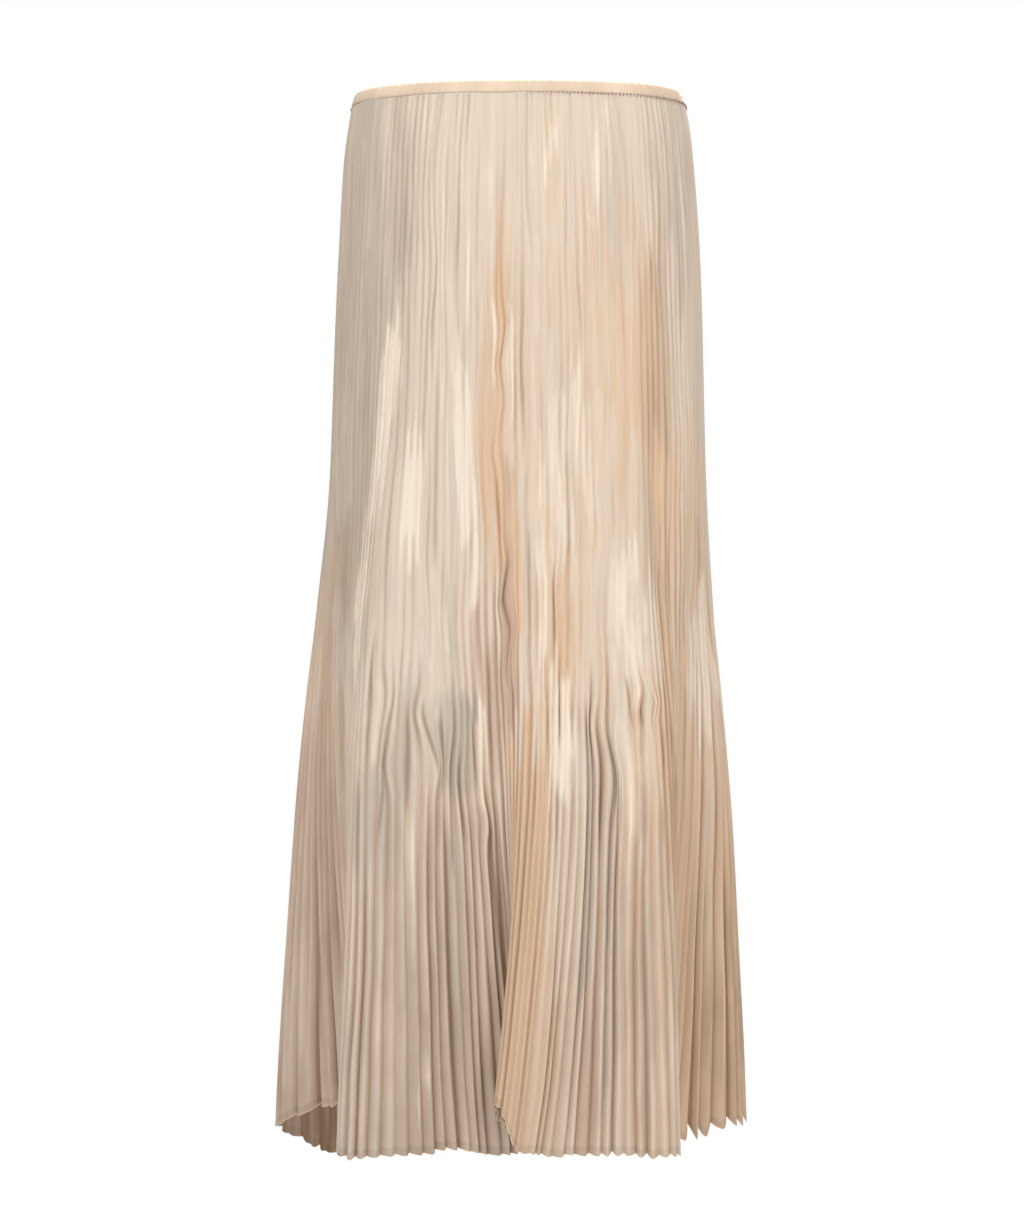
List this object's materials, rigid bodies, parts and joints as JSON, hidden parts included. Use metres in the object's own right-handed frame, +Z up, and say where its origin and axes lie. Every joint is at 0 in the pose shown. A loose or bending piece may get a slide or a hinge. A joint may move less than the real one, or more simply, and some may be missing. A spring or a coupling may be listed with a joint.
{
  "type": "pleated skirt",
  "caption": "Long sunray-pleated skirt on a narrow elastic waistband, filled out as if worn: fine pleats at the waist widen down to a flared hem with deep soft folds.",
  "frame": {"origin": "the centre of the waist opening, at the middle of the waistband's height: where the wearer's waist holds the skirt up", "axes": "+Z is up along the wearer, and the skirt's front faces -Y; its left side in front view is -X"},
  "size_m": [0.4159, 0.3621, 0.9344],
  "materials": {
    "satin_elastic": "satin",
    "front_cloth": "matte",
    "back_cloth": "matte"
  },
  "bodies": {
    "root": {"waistband": "satin_elastic", "skirt_front": "front_cloth", "skirt_back": "back_cloth"}
  },
  "joints": []
}
